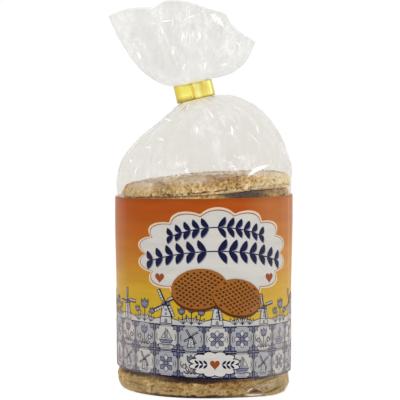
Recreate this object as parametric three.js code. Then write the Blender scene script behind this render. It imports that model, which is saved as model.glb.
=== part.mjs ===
// A clear film bag round a stack of round syrup waffles. A printed label band runs round the stack,
// a folded clip shuts the neck, and the spare film flares out above it as an open frill.
// Millimetres, +Z up, the front towards -Y, and the origin at the centre of the flat base.
// Angles run round the bag from its right side (+X), and a pair of values is [left, right].

import * as THREE from "three";
import { ParametricGeometry } from "three/addons/geometries/ParametricGeometry.js";

// The stack, and the film tube drawn over it
const waffleThickness = 8.1;
const waffleCount = 12;
const stackHeight = waffleThickness * waffleCount;
const footRadius = 41.1;
const topRadius = 42;
const footFlatRadius = 38.4;
const footCornerHeight = 2.8;
const sideTop = stackHeight - 0.7;

// The film's end fold stands out at the foot, at the front right. Angle and spread are in radians.
const footFold = { angle: -0.74, spread: 0.38, reach: 6.2, height: 8 };

// The neck inside the clip, and its lean to the left
const neckCentre = -4.6;
const neckHalfWidth = 7.7;
const neckHalfDepth = 3.4;
const neckHeight = 8.2;
const neckSlope = 0.243;
const neckFoot = 137.5;

// The shoulders, which rise to the neck: the right one puffs up and the left one runs down straight
const shoulderReach = 43.6;
const shoulderDepth = 42.6;
const shoulderRise = [113, 120];
const crownReach = 26.5;
const crownDepth = 23;
const crownRise = [123.2, 144];

// The frill above the clip: the outline of its rim from the left corner to the right one, as [x, z]
const rimOutline = [
  [-46.3, 177.3],
  [-36.5, 181.5],
  [-25, 182.6],
  [-18, 185.7],
  [-8, 185.1],
  [3, 181.4],
  [10.4, 178.6],
  [13.2, 173.6],
  [24.9, 165.1],
];
const mouthHalfDepth = 11;
const mouthDrop = 9;
const frillFlare = [0.57, 0.83];
const frillLift = [0.02, 0.1];
const frillWall = 1.1;
const frillFloor = 0.3;

// Pleats: film gathered into the neck, running down the shoulders and out into the frill
const pleats = [
  { count: 7, share: 0.5, phase: 0.6 },
  { count: 12, share: 0.5, phase: 2.1 },
];
const shoulderPleat = 1.3;
const shoulderPleatBias = 1.8;
const frillPleat = 1.7;
const edgeEase = 0.3;

// The label band and the clip
const skinGap = 0.3;
const labelThickness = 0.4;
const labelFoot = 9.4;
const labelTop = 92.5;
const clipHalfWidth = 9.3;
const clipHalfDepth = 5.4;
const clipCorner = 3.4;
const clipWall = 0.9;
const clipHeight = 7.7;
const clipNotchWidth = 1.5;
const clipNotchDepth = 0.9;

const aroundSteps = 84;
const labelSteps = 6;

const { lerp } = THREE.MathUtils;
const fullTurn = 2 * Math.PI;

const materials = {
  film: new THREE.MeshStandardMaterial({ color: 0xe4e0d9, roughness: 0.15, transparent: true, opacity: 0.45 }),
  print: new THREE.MeshStandardMaterial({ color: 0xb0702c, roughness: 0.35 }),
  gold: new THREE.MeshStandardMaterial({ color: 0xd7c346, roughness: 0.3, metalness: 0.2 }),
};

// How far a pleat stands out at an angle, from -1 to 1
function pleatAt(angle) {
  return pleats.reduce((sum, { count, share, phase }) => sum + share * Math.cos(count * angle + phase), 0);
}

// Pleats fade towards the left and right edges, where the film is folded flat
function pleatFreedom(angle) {
  return lerp(edgeEase, 1, Math.sin(angle) ** 2);
}

// A value that goes from its left to its right figure round the bag
function leftToRight([left, right], angle) {
  return lerp(left, right, (1 + Math.cos(angle)) / 2);
}

function ringPoint(angle, centre, halfWidth, halfDepth, height) {
  return new THREE.Vector3(centre + halfWidth * Math.cos(angle), halfDepth * Math.sin(angle), height);
}

function pushOut(point, angle, distance) {
  point.x += distance * Math.cos(angle);
  point.y += distance * Math.sin(angle);
  return point;
}

function sideRadius(height) {
  return lerp(footRadius, topRadius, height / sideTop);
}

// The neck leans with the clip: its ring at a share of the neck's height
function neckRing(angle, share) {
  const height = neckFoot + share * neckHeight + neckSlope * neckHalfWidth * Math.cos(angle);
  const lean = neckSlope * neckHeight * (0.5 - share);
  return ringPoint(angle, neckCentre + lean, neckHalfWidth, neckHalfDepth, height);
}

const rimCurve = new THREE.CatmullRomCurve3(rimOutline.map(([x, z]) => new THREE.Vector3(x, 0, z)));

// The rim of the frill: its front edge hangs lower than the back one, most towards the left
function rimPoint(angle) {
  const side = Math.cos(angle);
  const depth = Math.sin(angle);
  const point = rimCurve.getPoint((1 + side) / 2);
  point.y = mouthHalfDepth * depth;
  point.z -= mouthDrop * Math.max(0, -depth) * (1 - side) / 2;
  return point;
}

// How far the end fold pushes the film out at an angle and a height
function foldAt(angle, height) {
  const away = Math.abs(THREE.MathUtils.euclideanModulo(angle - footFold.angle + Math.PI, fullTurn) - Math.PI);
  const fade = Math.max(0, 1 - height / footFold.height);
  return footFold.reach * fade ** 2 * Math.exp(-((away / footFold.spread) ** 2));
}

function footDisc(angle, share) {
  const radius = share * (footFlatRadius + foldAt(angle, 0));
  return ringPoint(angle, 0, radius, radius, 0);
}

function footCorner(angle, share) {
  const turn = share * Math.PI / 2;
  const reach = sideRadius(footCornerHeight) - footFlatRadius;
  const height = footCornerHeight * (1 - Math.cos(turn));
  const radius = footFlatRadius + reach * Math.sin(turn) + foldAt(angle, height);
  return ringPoint(angle, 0, radius, radius, height);
}

function side(angle, share) {
  const height = lerp(footCornerHeight, sideTop, share ** 2);
  const radius = sideRadius(height) + foldAt(angle, height);
  return ringPoint(angle, 0, radius, radius, height);
}

function shoulder(angle, share) {
  const curve = new THREE.CubicBezierCurve3(
    ringPoint(angle, 0, topRadius, topRadius, sideTop),
    ringPoint(angle, 0, shoulderReach, shoulderDepth, leftToRight(shoulderRise, angle)),
    ringPoint(angle, 0, crownReach, crownDepth, leftToRight(crownRise, angle)),
    neckRing(angle, 0),
  );
  const swell = Math.sin(Math.PI * share ** shoulderPleatBias) * pleatFreedom(angle);
  return pushOut(curve.getPoint(share), angle, shoulderPleat * swell * pleatAt(angle));
}

function neck(angle, share) {
  return neckRing(angle, share);
}

// The frill's film, from the clip out to the rim; thin is how far inside its outer face a point lies
function frillFilm(angle, share, thin) {
  const start = neckRing(angle, 1);
  const end = rimPoint(angle);
  const bend = start.clone().lerp(end, leftToRight(frillFlare, angle));
  bend.z = lerp(start.z, end.z, leftToRight(frillLift, angle));
  const point = new THREE.QuadraticBezierCurve3(start, bend, end).getPoint(share);
  return pushOut(point, angle, frillPleat * share * pleatFreedom(angle) * pleatAt(angle) - thin);
}

function frillOutside(angle, share) {
  return frillFilm(angle, share, 0);
}

function frillInside(angle, share) {
  return frillFilm(angle, lerp(1, frillFloor, share), frillWall);
}

function frillBottom(angle, share) {
  const centre = frillInside(0, 1).lerp(frillInside(Math.PI, 1), 0.5);
  return frillInside(angle, 1).lerp(centre, share);
}

// The whole bag is one sheet swept round: up the outside from the base, over the rim and down inside
function makeBag() {
  const sections = [
    { at: footDisc, steps: 2 },
    { at: footCorner, steps: 3 },
    { at: side, steps: 4 },
    { at: shoulder, steps: 15 },
    { at: neck, steps: 2 },
    { at: frillOutside, steps: 12 },
    { at: frillInside, steps: 9 },
    { at: frillBottom, steps: 1 },
  ];
  const rows = sections.flatMap(({ at, steps }, index) => {
    const closing = index === sections.length - 1 ? 1 : 0;
    return Array.from({ length: steps + closing }, (_, row) => ({ at, share: row / steps }));
  });
  const lastRow = rows.length - 1;
  const sweep = (around, along, target) => {
    const { at, share } = rows[Math.round(along * lastRow)];
    const step = Math.round(around * aroundSteps) % aroundSteps;
    target.copy(at(step / aroundSteps * fullTurn, share));
  };
  return new ParametricGeometry(sweep, aroundSteps, lastRow);
}

// A thin band that stands a hair off the film, narrower at its foot as the film is
function makeLabel() {
  const heights = Array.from({ length: labelSteps + 1 }, (_, row) => lerp(labelFoot, labelTop, row / labelSteps));
  const wall = (offset) => heights.map((height) => new THREE.Vector2(sideRadius(height) + offset, height));
  const outline = [...wall(skinGap + labelThickness), ...wall(skinGap).reverse()];
  return new THREE.LatheGeometry([...outline, outline[0]], aroundSteps);
}

// Half of the clip's outline seen from above: a rounded box, pinched in the middle of its front
function clipOutline(path, halfWidth, halfDepth, corner) {
  path.moveTo(0, clipNotchDepth - halfDepth);
  path.lineTo(clipNotchWidth / 2, -halfDepth);
  path.lineTo(halfWidth - corner, -halfDepth);
  path.absarc(halfWidth - corner, corner - halfDepth, corner, -Math.PI / 2, 0);
  path.absarc(halfWidth - corner, halfDepth - corner, corner, 0, Math.PI / 2);
  path.absarc(corner - halfWidth, halfDepth - corner, corner, Math.PI / 2, Math.PI);
  path.absarc(corner - halfWidth, corner - halfDepth, corner, Math.PI, 1.5 * Math.PI);
  path.lineTo(-clipNotchWidth / 2, -halfDepth);
  path.closePath();
  return path;
}

function makeClip() {
  const band = clipOutline(new THREE.Shape(), clipHalfWidth, clipHalfDepth, clipCorner);
  const hole = new THREE.Path();
  clipOutline(hole, clipHalfWidth - clipWall, clipHalfDepth - clipWall, clipCorner - clipWall);
  band.holes.push(hole);
  return new THREE.ExtrudeGeometry(band, {
    depth: clipHeight,
    bevelEnabled: false,
    curveSegments: 6,
  });
}

const bag = new THREE.Mesh(makeBag(), materials.film);
bag.name = "bag";

const label = new THREE.Mesh(makeLabel(), materials.print);
label.name = "label";
label.rotation.x = Math.PI / 2;

const clip = new THREE.Mesh(makeClip(), materials.gold);
clip.name = "clip";
clip.position.set(neckCentre + neckSlope * clipHeight / 2, 0, neckFoot + (neckHeight - clipHeight) / 2);
clip.rotation.y = -Math.atan(neckSlope);

const pack = new THREE.Group();
pack.add(bag, label, clip);

export default pack;
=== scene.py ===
import math
import random

import bmesh
import bpy
from mathutils import Matrix, Vector, noise
from mathutils.bvhtree import BVHTree


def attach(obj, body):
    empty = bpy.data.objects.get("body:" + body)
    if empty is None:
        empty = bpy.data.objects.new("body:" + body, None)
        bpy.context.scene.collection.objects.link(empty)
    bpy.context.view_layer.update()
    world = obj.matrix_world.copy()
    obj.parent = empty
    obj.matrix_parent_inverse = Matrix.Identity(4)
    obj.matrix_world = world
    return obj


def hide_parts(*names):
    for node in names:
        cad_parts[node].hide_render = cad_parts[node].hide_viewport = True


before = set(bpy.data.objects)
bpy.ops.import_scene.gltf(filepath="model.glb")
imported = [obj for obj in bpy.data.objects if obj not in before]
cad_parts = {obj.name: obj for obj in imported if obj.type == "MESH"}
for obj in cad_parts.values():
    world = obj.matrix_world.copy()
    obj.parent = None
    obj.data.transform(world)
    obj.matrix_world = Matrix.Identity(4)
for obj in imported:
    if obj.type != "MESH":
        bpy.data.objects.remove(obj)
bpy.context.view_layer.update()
scene = bpy.context.scene
millimetre = 0.001
fullTurn = 2 * math.pi


# ---- shared helpers

def lerp(start, end, share):
    return start + (end - start) * share


def clamp(value):
    return max(0.0, min(1.0, value))


def smooth(value, low, high):
    share = clamp((value - low) / (high - low))
    return share * share * (3 - 2 * share)


def fromHex(code):
    # a web colour as the linear values that Blender's shaders use
    parts = [int(code[i:i + 2], 16) / 255 for i in (0, 2, 4)]
    linear = [p / 12.92 if p <= 0.04045 else ((p + 0.055) / 1.055) ** 2.4 for p in parts]
    return (*linear, 1.0)


def newMaterial(name):
    material = bpy.data.materials.new(name)
    material.use_nodes = True
    tree = material.node_tree
    tree.nodes.clear()
    return material, tree


def addNode(tree, kind, inputs=None, **settings):
    # each input is another node's output, a web colour or a plain value
    node = tree.nodes.new("ShaderNode" + kind)
    for key, value in settings.items():
        setattr(node, key, value)
    for key, value in (inputs or {}).items():
        if isinstance(value, bpy.types.NodeSocket):
            tree.links.new(value, node.inputs[key])
        else:
            node.inputs[key].default_value = fromHex(value) if isinstance(value, str) else value
    return node


def addMath(tree, operation, first, second=0.5, third=None):
    values = {0: first, 1: second}
    if third is not None:
        values[2] = third
    return addNode(tree, "Math", values, operation=operation).outputs[0]


def addRamp(tree, factor, stops):
    node = addNode(tree, "ValToRGB", {0: factor})
    ramp = node.color_ramp
    while len(ramp.elements) < len(stops):
        ramp.elements.new(0.5)
    for element, (position, colour) in zip(ramp.elements, stops):
        element.position = position
        element.color = fromHex(colour)
    return node.outputs["Color"]


def addMix(tree, factor, first, second, blend="MIX"):
    node = addNode(tree, "Mix", {0: factor, 6: first, 7: second}, data_type="RGBA", blend_type=blend)
    return node.outputs[2]


def addNoise(tree, place, scale, detail=2, roughness=0.5, distortion=0.0):
    return addNode(tree, "TexNoise", {"Vector": place, "Scale": scale, "Detail": detail, "Roughness": roughness,
                                      "Distortion": distortion}).outputs["Fac"]


def addRange(tree, value, start, end, low=0.0, high=1.0):
    # goes from low to high while the value goes from start to end, and stays there
    return addNode(tree, "MapRange", {"Value": value, "From Min": start, "From Max": end, "To Min": low,
                                      "To Max": high}).outputs[0]


def addBump(tree, strength, distance, height):
    return addNode(tree, "Bump", {"Strength": strength, "Distance": distance, "Height": height}).outputs[0]


def addShade(tree, colour, shade):
    # the colour made darker or lighter by a grey
    grey = addNode(tree, "CombineColor", {0: shade, 1: shade, 2: shade}).outputs[0]
    return addMix(tree, 1.0, colour, grey, "MULTIPLY")


def objectPlace(tree, scale=(1, 1, 1)):
    place = addNode(tree, "TexCoord").outputs["Object"]
    return addNode(tree, "Mapping", {"Vector": place, "Scale": scale}).outputs[0]


def objectAxis(tree, axis):
    return addNode(tree, "SeparateXYZ", {0: objectPlace(tree)}).outputs[axis]


def storedValue(tree, name):
    return addNode(tree, "Attribute", attribute_name=name).outputs["Fac"]


def finish(tree, shader):
    addNode(tree, "OutputMaterial", {"Surface": shader})


def addObject(name, data):
    thing = bpy.data.objects.new(name, data)
    scene.collection.objects.link(thing)
    return thing


def addShape(name, bm, material):
    mesh = bpy.data.meshes.new(name)
    bm.to_mesh(mesh)
    bm.free()
    mesh.materials.append(material)
    return addObject(name, mesh)


def makePiece(name, bm, material, replaced=()):
    bmesh.ops.transform(bm, matrix=Matrix.Scale(millimetre, 4), verts=bm.verts)
    for face in bm.faces:
        face.smooth = True
    piece = addShape(name, bm, material)
    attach(piece, "root")
    if replaced:
        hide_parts(*replaced)
    print("made", name, len(piece.data.polygons), "faces")


def rolledSheet(bm, rowCount, around, placeAt, stores=()):
    # a flat grid rolled round Z: placeAt gives each point its place, and any values for the material to read
    sheet = bmesh.ops.create_grid(bm, x_segments=around, y_segments=rowCount - 1, size=1)["verts"]
    for vertex in sheet:
        x, y, z = vertex.co
        found = placeAt(math.pi * x, round((y + 1) / 2 * (rowCount - 1)))
        if stores:
            found, *values = found
            for store, value in zip(stores, values):
                vertex[store] = value
        vertex.co = found
    bmesh.ops.remove_doubles(bm, verts=sheet, dist=0.0001)  # the seam and the poles


def outwards(bm):
    bmesh.ops.recalc_face_normals(bm, faces=bm.faces)
    low = min(bm.verts, key=lambda vertex: vertex.co.z)
    if low.link_faces[0].normal.z > 0:
        bmesh.ops.reverse_faces(bm, faces=bm.faces)


# ---- camera, floor and light

studio = {
    "cameraPlace": (-0.001845, -0.780, 0.1323),
    "cameraTilt": 0.055,
    "lens": 146.13,
    "floorSize": 3.0,
    "floorColour": "959595",
    "floorGlow": 0.86,
    "shadowEdge": (0.037, 0.0398),
    "backdrop": 1.01,
    "ambient": 0.30,
    "backLight": 0.95,
    "walls": 1.25,
    # each light's name, its place, the point it is turned to, its size and its power
    "lights": [
        ("keyLight", (-0.75, -0.85, 0.75), (0, 0, 0.07), (0.55, 0.55), 2.8),
        ("fillLight", (0.95, -0.5, 0.42), (0, 0, 0.08), (0.5, 0.7), 3.2),
        ("topLight", (0.05, 0.1, 0.95), (0, 0, 0.1), (0.4, 0.4), 1.0),
        ("glintLeft", (-0.5, -0.7, 0.55), (0, 0, 0.14), (0.06, 0.22), 0.8),
        ("glintRight", (0.45, -0.75, 0.62), (0, 0, 0.14), (0.06, 0.18), 0.7),
    ],
}


def softLight(name, place, aim, size, power):
    light = bpy.data.lights.new(name, "AREA")
    light.shape = "RECTANGLE"
    light.size, light.size_y = size
    light.energy = power
    lamp = addObject(name, light)
    lamp.location = place
    lamp.rotation_euler = (Vector(aim) - Vector(place)).to_track_quat("-Z", "Y").to_euler()


def makeCamera():
    camera = bpy.data.cameras.new("camera")
    camera.lens = studio["lens"]
    camera.sensor_width = 36
    camera.clip_start = 0.01
    view = addObject("camera", camera)
    view.location = studio["cameraPlace"]
    view.rotation_euler = (math.pi / 2 - studio["cameraTilt"], 0, 0)
    scene.camera = view


def makeFloor():
    # it glows a little to look white, but not right under the bag, which paints its shadow there
    material, tree = newMaterial("floor")
    reach = addNode(tree, "VectorMath", {0: objectPlace(tree)}, operation="LENGTH").outputs["Value"]
    glow = addRange(tree, reach, *studio["shadowEdge"], high=studio["floorGlow"])
    shader = addNode(tree, "BsdfPrincipled", {
        "Base Color": studio["floorColour"], "Roughness": 0.9, "Specular IOR Level": 0.0,
        "Emission Color": (1, 1, 1, 1), "Emission Strength": glow})
    finish(tree, shader.outputs[0])
    bm = bmesh.new()
    bmesh.ops.create_circle(bm, cap_ends=True, radius=studio["floorSize"], segments=64)
    addShape("floor", bm, material)


def makeSky():
    # dim in front and bright behind, with white walls at the sides for shiny things to mirror,
    # and plain white wherever the camera sees it
    world = bpy.data.worlds.new("world")
    world.use_nodes = True
    scene.world = world
    tree = world.node_tree
    tree.nodes.clear()
    depth = addNode(tree, "SeparateXYZ", {0: addNode(tree, "TexCoord").outputs["Generated"]}).outputs["Y"]
    behind = addRange(tree, depth, 0.0, 0.8, studio["ambient"], studio["backLight"])
    walls = addRange(tree, depth, -0.85, -0.35, studio["ambient"], studio["walls"])
    ray = addNode(tree, "LightPath")
    strength = addNode(tree, "Mix", {0: ray.outputs["Is Glossy Ray"], 2: behind, 3: walls}).outputs[0]
    strength = addNode(tree, "Mix", {0: ray.outputs["Is Camera Ray"], 2: strength, 3: studio["backdrop"]}).outputs[0]
    sky = addNode(tree, "Background", {"Color": (1, 1, 1, 1), "Strength": strength})
    addNode(tree, "OutputWorld", {"Surface": sky.outputs[0]})


def makeStudio():
    makeCamera()
    makeFloor()
    makeSky()
    for light in studio["lights"]:
        softLight(*light)
    scene.view_settings.view_transform = "Standard"
    scene.cycles.transparent_max_bounces = 28
    print("studio set")


# ---- the film bag

bag = {
    "footRadius": 41.1, "topRadius": 42.0, "footFlat": 38.4, "footCorner": 2.8, "sideTop": 96.5,
    "fold": {"angle": -0.74, "spread": 0.38, "reach": 6.2, "height": 8.0},
    "neckCentre": -4.6, "neckHalfWidth": 7.7, "neckHalfDepth": 3.4,
    "neckHeight": 8.2, "neckSlope": 0.243, "neckFoot": 137.5,
    "shoulderReach": 43.6, "shoulderDepth": 42.6, "shoulderRise": (113, 120),
    "crownReach": 26.5, "crownDepth": 23, "crownRise": (123.2, 144),
    "rim": [(-46.3, 177.3), (-36.5, 181.5), (-25, 182.6), (-18, 185.7), (-8, 185.1), (3, 181.4),
            (10.4, 178.6), (13.2, 173.6), (24.9, 165.1)],
    "mouthHalfDepth": 11, "mouthDrop": 4, "frillFlare": (0.57, 0.83), "frillLift": (0.02, 0.1),
    "pleats": [(7, 0.5, 0.6), (12, 0.5, 2.1)],
    "shoulderPleat": 1.3, "shoulderPleatBias": 1.8, "frillPleat": 1.7, "edgeEase": 0.3,
    # sharp gathers, as (how many go round, where they start)
    "footGather": (23, 0.4), "shoulderGather": (19, 0.7), "neckGather": (31, 2.2), "frillGather": (17, 1.1),
    # nets of creases: the size of a cell, a crease's width and depth, how much the cells are squeezed along
    # X, Y and Z, and where the net starts
    "sideCrease": (13, 0.12, 0.55, (1, 1, 2.2), (0, 0, 0)),
    "shoulderCrease": (17, 0.14, 0.85, (1, 1, 0.75), (3, 8, 1)),
    "frillCrease": (12, 0.15, 0.8, (1.3, 1, 0.6), (9, 2, 4)),
    "around": 288,
    "tint": (0.876, 0.863, 0.836, 1), "frillTint": (0.898, 0.894, 0.878, 1), "wrinkleHighlightTint": (0.98, 0.975, 0.965, 1),
    "crumpleShadeTint": (0.84, 0.83, 0.81, 1), "neckTint": (0.95, 0.85, 0.53, 1), "warmTint": (0.865, 0.843, 0.812, 1),
    "haze": 0.0672, "reflection": 0.036,
}


def leftToRight(pair, angle):
    return lerp(pair[0], pair[1], (1 + math.cos(angle)) / 2)


def turnBetween(angle, middle):
    return abs((angle - middle + math.pi) % fullTurn - math.pi)


def ringPoint(angle, centre, halfWidth, halfDepth, height):
    return Vector((centre + halfWidth * math.cos(angle), halfDepth * math.sin(angle), height))


def pushOut(point, angle, distance):
    return point + Vector((distance * math.cos(angle), distance * math.sin(angle), 0))


def pleatAt(angle):
    return sum(share * math.cos(count * angle + phase) for count, share, phase in bag["pleats"])


def pleatFreedom(angle):
    return lerp(bag["edgeEase"], 1, math.sin(angle) ** 2)


def gatherAt(angle, name):
    # sharp folds of uneven width, from -1 to 1
    count, phase = bag[name]
    wander = count * angle + phase + 1.3 * math.sin(2 * angle + 1) + 0.9 * math.sin(5 * angle + phase)
    return math.asin(0.97 * math.sin(wander)) / 1.33


def sideRadius(height):
    return lerp(bag["footRadius"], bag["topRadius"], height / bag["sideTop"])


def foldAt(angle, height):
    fold = bag["fold"]
    away = turnBetween(angle, fold["angle"]) / fold["spread"]
    fade = max(0, 1 - height / fold["height"])
    return fold["reach"] * fade ** 2 * math.exp(-away ** 2)


def neckRing(angle, share):
    slope = bag["neckSlope"]
    height = bag["neckFoot"] + share * bag["neckHeight"] + slope * bag["neckHalfWidth"] * math.cos(angle)
    centre = bag["neckCentre"] + slope * bag["neckHeight"] * (0.5 - share)
    return ringPoint(angle, centre, bag["neckHalfWidth"], bag["neckHalfDepth"], height)


def bezier(points, share):
    while len(points) > 1:
        points = [a.lerp(b, share) for a, b in zip(points, points[1:])]
    return points[0]


def catmullRom(points, share):
    # a centripetal curve through the points, at a share of its length
    place = share * (len(points) - 1)
    first = min(int(place), len(points) - 2)
    ends = [2 * points[0] - points[1], *points, 2 * points[-1] - points[-2]]
    p0, p1, p2, p3 = ends[first:first + 4]
    t0, t1, t2 = [(b - a).length ** 0.5 for a, b in ((p0, p1), (p1, p2), (p2, p3))]
    leave = ((p1 - p0) / t0 - (p2 - p0) / (t0 + t1) + (p2 - p1) / t1) * t1
    arrive = ((p2 - p1) / t1 - (p3 - p1) / (t1 + t2) + (p3 - p2) / t2) * t1
    return bezier([p1, p1 + leave / 3, p2 - arrive / 3, p2], place - first)


def rimPoint(angle):
    side, depth = math.cos(angle), math.sin(angle)
    flat = catmullRom([Vector(point) for point in bag["rim"]], (1 + side) / 2)
    drop = bag["mouthDrop"] * max(0, -depth) ** 2 * (1 - side) / 2
    return Vector((flat.x, bag["mouthHalfDepth"] * depth, flat.y - drop))


def creaseAt(point, name):
    # how deep a point lies in a crease between uneven cells
    size, width, depth, squeeze, start = bag[name]
    place = Vector([part * much for part, much in zip(point, squeeze)]) + Vector(start)
    near = noise.voronoi(place / size)[0]
    return depth * math.exp(-(near[1] - near[0]) / width)


def footDisc(angle, share):
    radius = share * (bag["footFlat"] + foldAt(angle, 0))
    gather = 0.35 * (1 + gatherAt(angle, "footGather")) * math.sin(math.pi * clamp(share * 1.1)) ** 2
    return ringPoint(angle, 0, radius, radius, gather)


def footCorner(angle, share):
    turn = share * math.pi / 2
    height = bag["footCorner"] * (1 - math.cos(turn))
    reach = sideRadius(bag["footCorner"]) - bag["footFlat"]
    radius = bag["footFlat"] + reach * math.sin(turn) + foldAt(angle, height)
    return ringPoint(angle, 0, radius, radius, height)


def side(angle, share):
    height = lerp(bag["footCorner"], bag["sideTop"], share ** 1.7)
    radius = sideRadius(height) + foldAt(angle, height)
    point = ringPoint(angle, 0, radius, radius, height)
    return pushOut(point, angle, -smooth(height, bag["footCorner"], 6) * creaseAt(point, "sideCrease"))


def shoulder(angle, share):
    path = [
        ringPoint(angle, 0, bag["topRadius"], bag["topRadius"], bag["sideTop"]),
        ringPoint(angle, 0, bag["shoulderReach"], bag["shoulderDepth"], leftToRight(bag["shoulderRise"], angle)),
        ringPoint(angle, 0, bag["crownReach"], bag["crownDepth"], leftToRight(bag["crownRise"], angle)),
        neckRing(angle, 0),
    ]
    free = pleatFreedom(angle)
    swell = math.sin(math.pi * share ** bag["shoulderPleatBias"]) * free
    point = pushOut(bezier(path, share), angle, bag["shoulderPleat"] * swell * pleatAt(angle))
    gather = 0.75 * smooth(share, 0.45, 0.97) * gatherAt(angle, "shoulderGather") * free
    gather += 0.5 * smooth(share, 0.72, 1) * gatherAt(angle, "neckGather") * free
    dents = smooth(share, 0, 0.12) * (1 - smooth(share, 0.8, 1))
    soft = noise.noise(point / 14 + Vector((5, 1, 2)))
    return pushOut(point, angle, gather + dents * (soft - creaseAt(point, "shoulderCrease")))


def neck(angle, share):
    # inside the clip the film is squeezed together into a flat bundle of folds
    gather = gatherAt(angle, "neckGather")
    point = pushOut(neckRing(angle, share), angle, 0.35 * gather - 0.2)
    middle = neckRing(0, share).lerp(neckRing(math.pi, share), 0.5)
    squeeze = math.sin(math.pi * clamp(1.5 * share - 0.25)) ** 0.6
    flat = 0.5 * math.sin(angle) + 0.5 * gather
    return Vector((lerp(point.x, middle.x, 0.2 * squeeze), lerp(point.y, flat, squeeze), point.z))


def frill(angle, share):
    start = neckRing(angle, 1)
    end = rimPoint(angle)
    bend = start.lerp(end, leftToRight(bag["frillFlare"], angle))
    bend.z = lerp(start.z, end.z, leftToRight(bag["frillLift"], angle))
    point = bezier([start, bend, end], share)
    free = pleatFreedom(angle)
    fold = bag["frillPleat"] * share * free * pleatAt(angle)
    fold += 0.9 * math.sin(math.pi * clamp(share * 1.15)) * free * gatherAt(angle, "frillGather")
    fold += 0.35 * (1 - share) * gatherAt(angle, "neckGather")
    fold -= smooth(share, 0.08, 0.3) * creaseAt(point, "frillCrease")
    return pushOut(point, angle, fold)


filmSections = [(footDisc, 14), (footCorner, 6), (side, 34), (shoulder, 84), (neck, 12), (frill, 70)]


def addNearNeck(tree):
    # two masks: inside the clip, and in a ball just below its middle
    neckPlace = neckRing(0, 0.5).lerp(neckRing(math.pi, 0.5), 0.5) * millimetre
    neckWay = Vector((-bag["neckSlope"], 0, 1))
    below = neckPlace - neckWay * 0.0022
    place = objectPlace(tree)
    along = addNode(tree, "VectorMath", {0: place, 1: neckWay}, operation="DOT_PRODUCT").outputs["Value"]
    fromNeck = addMath(tree, "ABSOLUTE", addMath(tree, "SUBTRACT", along, neckPlace.dot(neckWay)))
    fromBelow = addNode(tree, "VectorMath", {0: place, 1: below}, operation="DISTANCE").outputs["Value"]
    return addRange(tree, fromNeck, 0.003, 0.001), addRange(tree, fromBelow, 0.0100, 0.0065)


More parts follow.
